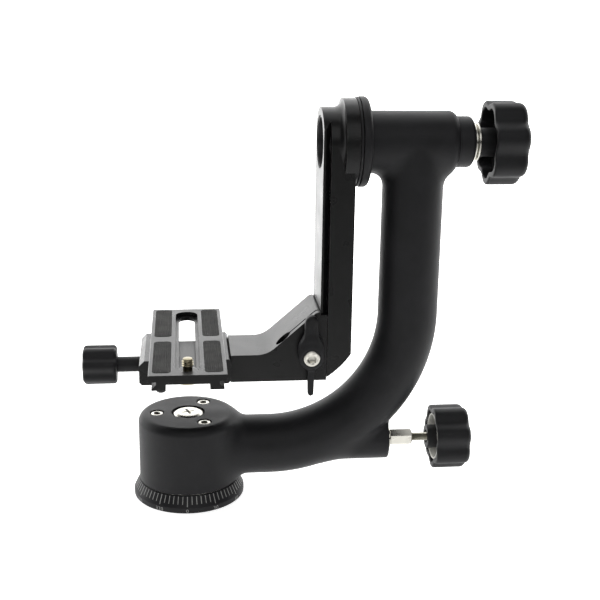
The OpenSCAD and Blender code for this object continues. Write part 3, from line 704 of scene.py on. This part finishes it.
def arm_distance(x, y, z):
    """Distance field of the casting: housing, bent tube, lock boss and upper barrel.

    The tube follows a level line, a quarter circle and an upright line; everything is joined
    with fillets, then the screw seats are taken away.
    """
    tube_r, tube_z, bend_r, upright_x, tilt_z = 17.2, 28.07, 80.0, 127.4, 206.5
    bend_x, bend_z = upright_x - bend_r, tube_z + bend_r
    level, upright = z - tube_z, x - upright_x
    arc = np.hypot(x - bend_x, z - bend_z) - bend_r
    off = np.where(x <= bend_x, level, np.where(z >= bend_z, upright, arc))
    above = np.maximum(z - tilt_z, 0)
    spine = np.sqrt(off**2 + y**2 + above**2)
    tube = np.maximum(spine - tube_r, -x)
    core = np.hypot(y, z - tilt_z)
    barrel = np.maximum(rod(x, y, z - tilt_z, tube_r, 80, 150.7, 5.0), 100.0 - x)
    # the fillet fades out where the two skins run the same way, at the front and the back
    same_way = (y * y + above * (z - tilt_z)) / np.maximum(spine * core, 1.0)
    crook = 9.0 * np.clip(1 - same_way, 0.001, 1)
    boss = rod(x, y, z - 29.3, 12.0, bend_x + 30, 117.8, 0.9)
    housing_top, above_top = 49.3, 60
    housing = np.maximum(rod(z, x, y, 28.8, -20, housing_top, 4.6), 10.0 - z)
    whole = melt(melt(melt(tube, barrel, crook), housing, 7.0), boss, 4.0)
    for angle in SCREW_ANGLES:
        seat_x = SCREW_CIRCLE_R * math.cos(math.radians(angle))
        seat_y = SCREW_CIRCLE_R * math.sin(math.radians(angle))
        seat = rod(z, x - seat_x, y - seat_y, 4.1, 43.5, above_top, 0.3)
        whole = np.maximum(whole, -seat)
    recess = rod(z, x, y, 9.6, 44.0, above_top, 0.3)
    return np.maximum(whole, -recess)


def arm_body():
    """The cast arm, drawn as the zero surface of arm_distance on a 0.9 mm grid."""
    low, high = span("arm_casting")
    pad = 2.5
    points, faces = contour(arm_distance, low - pad, high + pad, 0.9)
    build("arm_body", points, faces, "arm", "powder_coat", ("arm_casting",), smooth=38)


def altitude_rings():
    """Flange, friction ring and end cap on the altitude axis, each turned with rounded rims."""
    axis = middle("tilt_flange")
    at = (0, 0, axis[2])
    low, high = span("tilt_flange")
    points, faces = collar(24.9, 7.5, low[0], high[0] + 0.3, edge=2.2, rear_edge=0.5)
    build("altitude_flange", place(points, "+X", at), faces, "arm", "powder_coat", ("tilt_flange",))
    low, high = span("friction_ring")
    points, faces = collar(24.5, 13.0, low[0], 95.2, edge=0.35)
    lug, lug_faces = collar(18.0, 14.0, 95.0, high[0] + 0.1, edge=0.1)
    points, faces = gather([(points, faces), (lug, lug_faces)])
    build("friction_collar", place(points, "+X", at), faces, "arm", "moulded_nylon", ("friction_ring",))
    low, high = span("tilt_end_cap")
    rows = outline([
        (6.8, low[0], 0), (14.0, low[0], 0.2), (14.0, 149.6, 0), (14.2, 149.8, 0),
        (14.2, high[0], 4.2), (9.5, high[0], 0.3), (9.5, high[0] - 0.8, 0), (6.8, high[0] - 0.8, 0),
    ], steps=6)
    points, faces = turned(rows, ring=True)
    build("barrel_end_cap", place(points, "+X", at), faces, "arm", "powder_coat", ("tilt_end_cap",))


def altitude_washers():
    """Plain and thrust washers between the end cap and the altitude knob."""
    at = (0, 0, middle("tilt_washers")[2])
    low, high = span("tilt_washers")
    wide = collar(10.65, 5.04, low[0], low[0] + 0.9, edge=0.2)
    small = collar(9.05, 5.04, low[0] + 0.85, high[0], edge=0.2)
    points, faces = gather([wide, small])
    build("altitude_washers", place(points, "+X", at), faces, "swing_arm", "bright_nickel",
          ("tilt_washers",))
    low, high = span("thrust_washer")
    points, faces = collar(10.65, 5.04, low[0], high[0], edge=0.25)
    build("altitude_thrust_washer", place(points, "+X", at), faces, "altitude_washer", "bright_nickel",
          ("thrust_washer",))


# ---- Knobs ----


def knob_shape(radius, height, wall, cup, hub_r, hub_z, bore_r, bore, front, rear):
    """Lobed hand knob: its rear rim at zero, its rounded front at height.

    From the bottom of the bore the rows run out over the hub, down into the cup, over the rear
    rim, along the lobed side and round the front edge to the centre of a shallow dished face.
    The lobes grow in between 0.55 and 0.8 of the radius, so the cup's wall is lobed too.
    """
    inner = radius - wall
    hollow = []
    if cup > 0:
        hollow = [(hub_r, hub_z, 0.4), (hub_r, cup, 0.8), (inner, cup, 1.2), (inner, 0, 0.7)]
    rows = outline([
        (0, bore, 0), (bore_r, bore, 0), (bore_r, hub_z, 0.15), *hollow, (radius, 0, rear),
        (radius, height, front), (radius * 0.56, height, 0.5), (radius * 0.5, height - 0.7, 0.4),
        (0, height - 0.7, 0),
    ], closed=False, steps=7)
    reach = np.clip((rows[:, 0] / radius - 0.55) / 0.25, 0, 1)
    shares = reach * reach * (3 - 2 * reach)
    return turned(rows, lobed(7, 0.13, 1.4), shares, columns=196)


def altitude_knob():
    """Large seven-lobed knob that locks altitude."""
    low, high = span("tilt_knob")
    x0 = high[0] - 19.2
    points, faces = knob_shape(23.9, 19.2, 3.7, 9.0, 8.0, low[0] - x0, 6.5, 14.0, 4.2, 1.2)
    at = (x0, 0, middle("tilt_knob")[2])
    build("altitude_knob", place(points, "+X", at, turn=-1.4), faces, "altitude_lock",
          "moulded_nylon", ("tilt_knob",), smooth=40)


def azimuth_knob():
    """Seven-lobed knob that locks azimuth, with a pale lining in its cup."""
    low, high = span("lock_knob")
    x0 = high[0] - 20.4
    points, faces = knob_shape(19.2, 20.4, 3.3, 8.0, 7.0, low[0] - x0, 4.0, 10.0, 3.4, 1.2)
    at = (x0, 0, middle("lock_knob")[2])
    build("azimuth_knob", place(points, "+X", at, turn=-10.8), faces, "azimuth_lock",
          "moulded_nylon", ("lock_knob",), smooth=40)
    points, faces = collar(13.6, 12.9, x0 + 0.7, x0 + 8.0, edge=0.2)
    build("azimuth_knob_liner", place(points, "+X", (0, 0, at[2])), faces, "azimuth_lock",
          "pale_nylon")


def plate_clamp_knob():
    """Small solid knob of the plate clamp and its neck."""
    low, high = span("clamp_knob")
    points, faces = knob_shape(11.3, high[0] - low[0], 0, 0, 6.0, 0.0, 4.4, 13.0, 2.0, 2.0)
    at = (high[0], 0, middle("clamp_knob")[2])
    build("plate_clamp_knob", place(points, "-X", at, turn=1.7), faces, "clamp_knob",
          "moulded_nylon", ("clamp_knob",), smooth=40)
    low, high = span("clamp_sleeve")
    points, faces = collar(4.4, 3.04, low[0], high[0], edge=0.3)
    build("plate_clamp_neck", place(points, "+X", (0, 0, at[2])), faces, "clamp_knob",
          "moulded_nylon", ("clamp_sleeve",))


def azimuth_lock_metal():
    """Hex bush, washer and threaded rod of the azimuth lock."""
    centre = middle("lock_rod")
    at = (0, 0, centre[2])
    low, high = span("lock_hex_bush")
    hex_start = 119.6
    inside = outline([(2.54, low[0], 0), (4.0, low[0], 0), (4.0, hex_start, 0)], closed=False)
    corner = 4.4 / math.cos(math.pi / 6) * 0.995
    hexed = [(3.9, hex_start), (corner, hex_start + 0.5), (corner, high[0] - 0.5), (3.9, high[0])]
    rows = np.concatenate([inside, hexed, [(2.54, high[0])]])
    shares = [0] * len(inside) + [0, 1, 1, 0, 0]
    points, faces = turned(rows, hexagon, shares, columns=96, ring=True)
    build("azimuth_hex_bush", place(points, "+X", at), faces, "arm", "bright_nickel",
          ("lock_hex_bush",), smooth=25)
    low, high = span("lock_washer")
    points, faces = collar(6.0, 4.0, low[0], high[0], edge=0.25)
    build("azimuth_bush_washer", place(points, "+X", at), faces, "arm", "bright_nickel", ("lock_washer",))
    low, high = span("lock_rod")
    rod_r, start, end, columns = 2.5, 128.0, 147.0, 36
    points, faces = stack(
        circle_rows([(0, low[0]), (2.1, low[0]), (rod_r, low[0] + 0.4), (rod_r, start)], columns),
        thread(rod_r, 0.38, 0.8, start, end, columns=columns),
        circle_rows([(rod_r, end), (rod_r, high[0]), (0, high[0])], columns),
    )
    build("azimuth_rod", place(points, "+X", at), faces, "azimuth_lock", "turned_steel", ("lock_rod",))


# ---- Swing arm ----


def hub_sleeve():
    """Dark sleeve that lines the deep bore in the swing arm's hub."""
    mouth = span("swing_arm")[0][0]
    points, faces = collar(14.6, 13.9, mouth + 0.4, mouth + 10.6, edge=0.2)
    at = (0, 0, middle("tilt_knob")[2])
    build("hub_sleeve", place(points, "+X", at), faces, "swing_arm", "black_oxide")


def spindle_screw():
    """Washer and socket-head screw at the bottom of the hub's bore."""
    bore_floor, washer_h = 85.4, 1.4
    at = (bore_floor - washer_h, 0, middle("spindle_end_screw")[2])
    head = socket_cap(4.25, 4.6, 20, 2.5, 2.31)
    washer = collar(11.0, 2.5, -washer_h, 0.0, edge=0.25)
    points, faces = gather([head, washer])
    build("altitude_end_screw", place(points, "-X", at), faces, "swing_arm", "black_oxide",
          ("spindle_end_screw",), smooth=28)


# ---- Platform ----


def coil(radius, wire, start, end, turns):
    """A helical wire along the X axis: a small circle carried round the helix, ends closed."""
    columns, per_turn = 10, 28
    n = turns * per_turn
    t = np.linspace(0, turns * TURN, n + 1)[:, None]
    x = np.linspace(start, end, n + 1)[:, None]
    a = (np.arange(columns) * TURN / columns)[None]
    r = radius + wire * np.cos(a)
    rows = np.stack([x + wire * np.sin(a) + 0 * t, r * np.cos(t), r * np.sin(t)], -1)
    first, last = [end_row.mean(1, keepdims=True).repeat(columns, 1) for end_row in (rows[:1], rows[-1:])]
    return stack(first, rows, last)


def jaw_coils():
    """Two springs round the guide pins, which open the clamp's jaw."""
    low, high = span("jaw_springs")
    points, faces = coil(2.6, 0.32, low[0] + 0.35, high[0] - 0.35, 3)
    axis_z = middle("jaw_springs")[2]
    parts = [(points + np.array([0, y, axis_z]), faces) for y in (-18, 18)]
    build("jaw_coils", *gather(parts), "platform", "turned_steel", ("jaw_springs",), smooth=80)


def slab(across, up, through, half, top, thick_from, thick_to, rounding):
    """Distance to an upright bar with a round upper end, its flat faces square to `through`.

    half may change with height; the bar starts at up = 0 and its rims are rounded.
    """
    side = np.hypot(across, np.maximum(up - top, 0) + np.maximum(-up, 0)) - (half - rounding)
    flat = np.abs(through - (thick_from + thick_to) / 2) - ((thick_to - thick_from) / 2 - rounding)
    return rounded_overlap(side, flat, rounding)


def lever_distance(x, y, z):
    """Distance field of the lever, seen with its screw at the origin and its handle up.

    A round hub and a wider rounded shoulder above it flow into a slightly tapered handle, and a
    thin tapered tail hangs below; y runs towards the front.
    """
    hub = rod(y, x, z, 6.9, 0.0, 6.9, 1.0)
    shoulder = rod(y, x, z - 4.6, 7.4, 0.3, 6.2, 2.4)
    handle = slab(x, z, y, 4.4 - 0.7 * np.clip(z / 20.5, 0, 1), 20.5, 1.2, 6.9, 1.9)
    tail = slab(x, -z, y, 2.2 - 0.6 * np.clip(-z / 21.5, 0, 1), 21.5, 1.1, 4.9, 0.8)
    whole = melt(melt(melt(hub, shoulder, 2.0), handle, 4.0), tail, 2.5)
    seat = rod(y, x, z, 4.75, 3.9, 12.0, 0.3)
    return np.maximum(whole, -seat)


def lever():
    """Moulded lever and the socket-head screw in its hub."""
    low, high = span("clamp_lever")
    axis = middle("lever_screw")
    points, faces = contour(lever_distance, (-9.5, -1.2, -25.0), (9.5, 8.2, 26.5), 0.33)
    points = np.column_stack([points[:, 0] + axis[0], high[1] - points[:, 1], points[:, 2] + axis[2]])
    build("platform_lever", points, faces, "lever", "moulded_nylon", ("clamp_lever",), smooth=40)
    low, high = span("lever_screw")
    points, faces = socket_cap(4.6, 4.0, high[1] - low[1] - 4.0, 2.5, 2.6)
    at = (axis[0], low[1] + 4.0, axis[2])
    build("lever_cap_screw", place(points, "-Y", at, turn=12), faces, "lever", "bright_nickel",
          ("lever_screw",), smooth=28)


# ---- Camera plate ----


def ribbed_pads():
    """Four rubber pads with rounded corners, whose tops carry lengthwise ribs.

    A square grid is stretched over the rectangle, then each corner's square of side r is drawn
    in to a quarter disc by q * max(q) / |q|. The height is a raised cosine across the width
    that fades at the rim, where the top rounds down.
    """
    low, high = span("plate_pads")
    top, bottom = high[2], low[2]
    corner, ribs, rib_height = 2.6, 9, 0.2
    u_grid, v_grid = np.meshgrid(
        np.sin(np.linspace(-1, 1, 97) * math.pi / 2 * 0.9) / math.sin(math.pi / 2 * 0.9),
        np.sin(np.linspace(-1, 1, 61) * math.pi / 2), indexing="ij")
    rows, columns = u_grid.shape
    order = np.arange(rows * columns).reshape(rows, columns)
    rim = np.concatenate([order[:, 0], order[-1, 1:], order[-2::-1, -1], order[0, -2:0:-1]])
    inner_x, outer_x = 8.9, 18.7
    half_x = (outer_x - inner_x) / 2
    parts = []
    for y0, y1 in ((low[1], -3.5), (5.0, high[1])):
        half_y = (y1 - y0) / 2
        x, y = u_grid * half_x, v_grid * half_y
        qx, qy = np.abs(x) - (half_x - corner), np.abs(y) - (half_y - corner)
        inside = (qx > 0) & (qy > 0)
        pull = np.where(inside, np.maximum(qx, qy) / np.maximum(np.hypot(qx, qy), 1e-9), 1)
        x = np.where(inside, np.sign(x) * (half_x - corner + qx * pull), x)
        y = np.where(inside, np.sign(y) * (half_y - corner + qy * pull), y)
        to_rim = np.minimum(half_x * (1 - np.abs(u_grid)), half_y * (1 - np.abs(v_grid)))
        edge = np.clip(to_rim / 0.7, 0, 1)
        ridge = 0.5 + 0.5 * np.cos(math.pi * ribs * x / half_x)
        height = top - rib_height * (1 - ridge * edge) - 0.25 * (1 - edge) ** 2
        cells = skin(rows, columns, open_columns=True)
        after = np.roll(np.arange(len(rim)), -1)
        lower = rows * columns + np.arange(len(rim))
        hub = np.full(len(rim), rows * columns + len(rim))
        walls = np.stack([rim, lower, lower[after], rim[after]], -1)
        floor = np.stack([lower, hub, hub, lower[after]], -1)
        for side in (-1, 1):
            pad_x, pad_y = side * (inner_x + half_x), (y0 + y1) / 2
            upper = np.stack([x + pad_x, y + pad_y, height], -1).reshape(-1, 3)
            foot = upper[rim] * [1, 1, 0] + [0, 0, bottom]
            centre = [[pad_x, pad_y, bottom]]
            shell = np.concatenate([upper, foot, centre])
            parts.append((shell, np.concatenate([cells, walls, floor])))
    build("ribbed_pads", *gather(parts), "plate", "pad_rubber", ("plate_pads",), smooth=50)


def stop_screws():
    """Small socket-head screws under the plate's ends."""
    low, high = span("plate_stops")
    head_r, head_h = 2.4, 1.6
    points, faces = socket_cap(head_r, head_h, 3.4, 1.5, 1.15, columns=48)
    parts = []
    for side in (-1, 1):
        at = (side * (high[0] - head_r), side * (high[1] - head_r), low[2] + head_h)
        parts.append((place(points, "-Z", at), faces))
    build("plate_stop_screws", *gather(parts), "plate", "black_oxide", ("plate_stops",), smooth=28)


def camera_thread():
    """Slotted camera screw with a true thread of 20 turns to the inch, and the knurled ring
    that keeps it."""
    low, high = span("camera_screw")
    y = middle("camera_screw")[1]
    head_top, plate_top = 88.7, 93.8
    head_r, slot_r, core_r, columns = 7.4, 6.6, 2.5, 48
    bottom, tip = low[2], high[2]
    slot_profile = [(0, bottom + 1.2), (slot_r, bottom + 1.2), (slot_r, bottom + 0.1)]
    slot_rows = turned(slot_profile, slit(0.12), [0, 1, 1], columns)[0]
    points, faces = stack(
        slot_rows.reshape(3, columns, 3),
        circle_rows([
            (head_r - 0.3, bottom), (head_r, bottom + 0.3), (head_r, head_top - 0.3),
            (head_r - 0.3, head_top), (core_r, head_top), (core_r, plate_top - 0.3), (core_r, plate_top)]),
        thread(3.175, 0.62, 25.4 / 20, plate_top, tip - 0.5),
        circle_rows([(core_r, tip - 0.25), (2.1, tip), (0, tip)]),
    )
    build("camera_thread", points + np.array([0, y, 0]), faces, "camera_screw", "turned_brass",
          ("camera_screw",), smooth=45)
    low, high = span("screw_keeper")
    rows = outline([(2.54, low[2], 0), (5.8, low[2], 0.2), (5.8, high[2], 0.25), (2.54, high[2], 0.2)])
    knurl = lobed(40, 0.035, 1.0)
    shares = (rows[:, 0] > 5.0).astype(float)
    points, faces = turned(rows, knurl, shares, columns=240, ring=True)
    build("keeper_ring", points + np.array([0, y, 0]), faces, "screw_slider", "anodised",
          ("screw_keeper",), smooth=35)


scale_base()
scale_marks()
scale_numerals()
tripod_thread()
pan_screw()
housing_cap_screws()
arm_body()
altitude_rings()
altitude_washers()
altitude_knob()
azimuth_knob()
plate_clamp_knob()
azimuth_lock_metal()
softened("swing_bar", "swing_arm", "swing_arm", "anodised", 0.55, segments=3)
hub_sleeve()
spindle_screw()
softened("platform_beam", "platform_bracket", "platform", "anodised", 0.5, segments=3)
softened("clamp_base", "clamp_body", "platform", "anodised", 0.35)
softened("clamp_cheek", "clamp_jaw", "jaw", "anodised", 0.35)
jaw_coils()
lever()
softened("slotted_plate", "camera_plate", "plate", "anodised", 0.3)
ribbed_pads()
stop_screws()
camera_thread()


# ---- Floor, light and camera ----


def studio_sheet():
    """Pale floor that sweeps up into a backdrop: a line, a quarter circle and a line, carried
    along X. It glows from beside the object backwards, and only reflects light in front of it."""
    curve_r, floor_end, half = 0.9, 1.3, 5.0
    s = np.linspace(0, math.pi / 2, 25)
    y = np.concatenate([[-3.0], floor_end + curve_r * np.sin(s), [floor_end + curve_r]])
    z = np.concatenate([[0.0], curve_r - curve_r * np.cos(s), [3.5]])
    x = np.linspace(-half, half, 3)
    grid = np.stack([
        np.broadcast_to(x[None], (len(y), 3)),
        np.broadcast_to(y[:, None], (len(y), 3)),
        np.broadcast_to(z[:, None], (len(y), 3)),
    ], -1)
    mesh = bpy.data.meshes.new("studio_sheet")
    mesh.from_pydata(grid.reshape(-1, 3).tolist(), [], skin(len(y), 3, open_columns=True).tolist())
    mesh.shade_smooth()
    sheet = bpy.data.objects.new("studio_sheet", mesh)
    bpy.context.scene.collection.objects.link(sheet)
    paper = bpy.data.materials.new("paper")
    paper.use_nodes = True
    tree = paper.node_tree
    shader = tree.nodes["Principled BSDF"]
    shader.inputs["Base Color"].default_value = (0.85, 0.85, 0.845, 1)
    shader.inputs["Roughness"].default_value = 0.95
    shader.inputs["Specular IOR Level"].default_value = 0.0
    shader.inputs["Emission Color"].default_value = (1, 1, 1, 1)
    where = add(tree, "ShaderNodeTexCoord").outputs["Object"]
    depth = add(tree, "ShaderNodeSeparateXYZ", [(0, where)]).outputs["Y"]
    near = add(tree, "ShaderNodeMapRange", [
        ("Value", depth), ("From Min", -0.34), ("From Max", -0.1), ("To Max", GLOW_NEAR)],
        interpolation_type="SMOOTHSTEP")
    back = add(tree, "ShaderNodeMapRange", [
        ("Value", depth), ("From Min", 0.1), ("From Max", 0.8), ("To Max", GLOW_BACK)],
        interpolation_type="SMOOTHSTEP")
    glow = math_node(tree, "ADD", near.outputs[0], back.outputs[0])
    tree.links.new(glow, shader.inputs["Emission Strength"])
    mesh.materials.append(paper)


def softbox(name, at, aim, size, watts):
    """A square area light at `at` that looks towards `aim`."""
    light = bpy.data.lights.new(name, "AREA")
    light.shape = "RECTANGLE"
    light.size, light.size_y = size
    light.energy = watts
    holder = bpy.data.objects.new(name, light)
    away = np.array(at, float) - np.array(aim, float)
    back = away / np.linalg.norm(away)
    side = np.cross([0, 0, 1.0], back) if abs(back[2]) < 0.99 else np.array([1.0, 0, 0])
    side /= np.linalg.norm(side)
    up = np.cross(back, side)
    bpy.context.scene.collection.objects.link(holder)
    rows = [[side[i], up[i], back[i], at[i]] for i in range(3)]
    holder.matrix_world = Matrix(rows + [[0, 0, 0, 1]])


def camera():
    """Camera in front of the head, looking down on it and a little to the right."""
    yaw, pitch, roll = math.radians(6.36), math.radians(16.15), math.radians(0.84)
    look = np.array([
        math.sin(yaw) * math.cos(pitch), math.cos(yaw) * math.cos(pitch), -math.sin(pitch)])
    level = np.array([math.cos(yaw), -math.sin(yaw), 0])
    above = np.cross(level, look)
    right = math.cos(roll) * level + math.sin(roll) * above
    up = -math.sin(roll) * level + math.cos(roll) * above
    at = np.array([-0.93, -588.31, 287.44]) * MM
    lens = bpy.data.cameras.new("view")
    lens.sensor_width = 36
    lens.lens = 64.56
    lens.clip_start, lens.clip_end = 0.01, 50
    holder = bpy.data.objects.new("view", lens)
    bpy.context.scene.collection.objects.link(holder)
    rows = [[right[i], up[i], -look[i], at[i]] for i in range(3)]
    holder.matrix_world = Matrix(rows + [[0, 0, 0, 1]])
    bpy.context.scene.camera = holder


studio_sheet()
softbox("top_light", (0.0, 0.35, 1.3), (0.05, 0.0, 0.05), (1.4, 1.0), 7)
softbox("left_light", (-1.2, 0.55, 0.6), (0.05, 0.0, 0.12), (0.9, 1.1), 5)
softbox("right_light", (1.3, 0.55, 0.6), (0.05, 0.0, 0.12), (0.9, 1.1), 4)
softbox("front_light", (0.1, -1.7, 1.5), (0.05, 0.0, 0.1), (2.4, 1.6), 14)

world = bpy.data.worlds.new("surround")
world.use_nodes = True
world.node_tree.nodes["Background"].inputs[0].default_value = (0.93, 0.96, 1, 1)
world.node_tree.nodes["Background"].inputs[1].default_value = 0.04
bpy.context.scene.world = world
bpy.context.scene.view_settings.view_transform = "Standard"
camera()
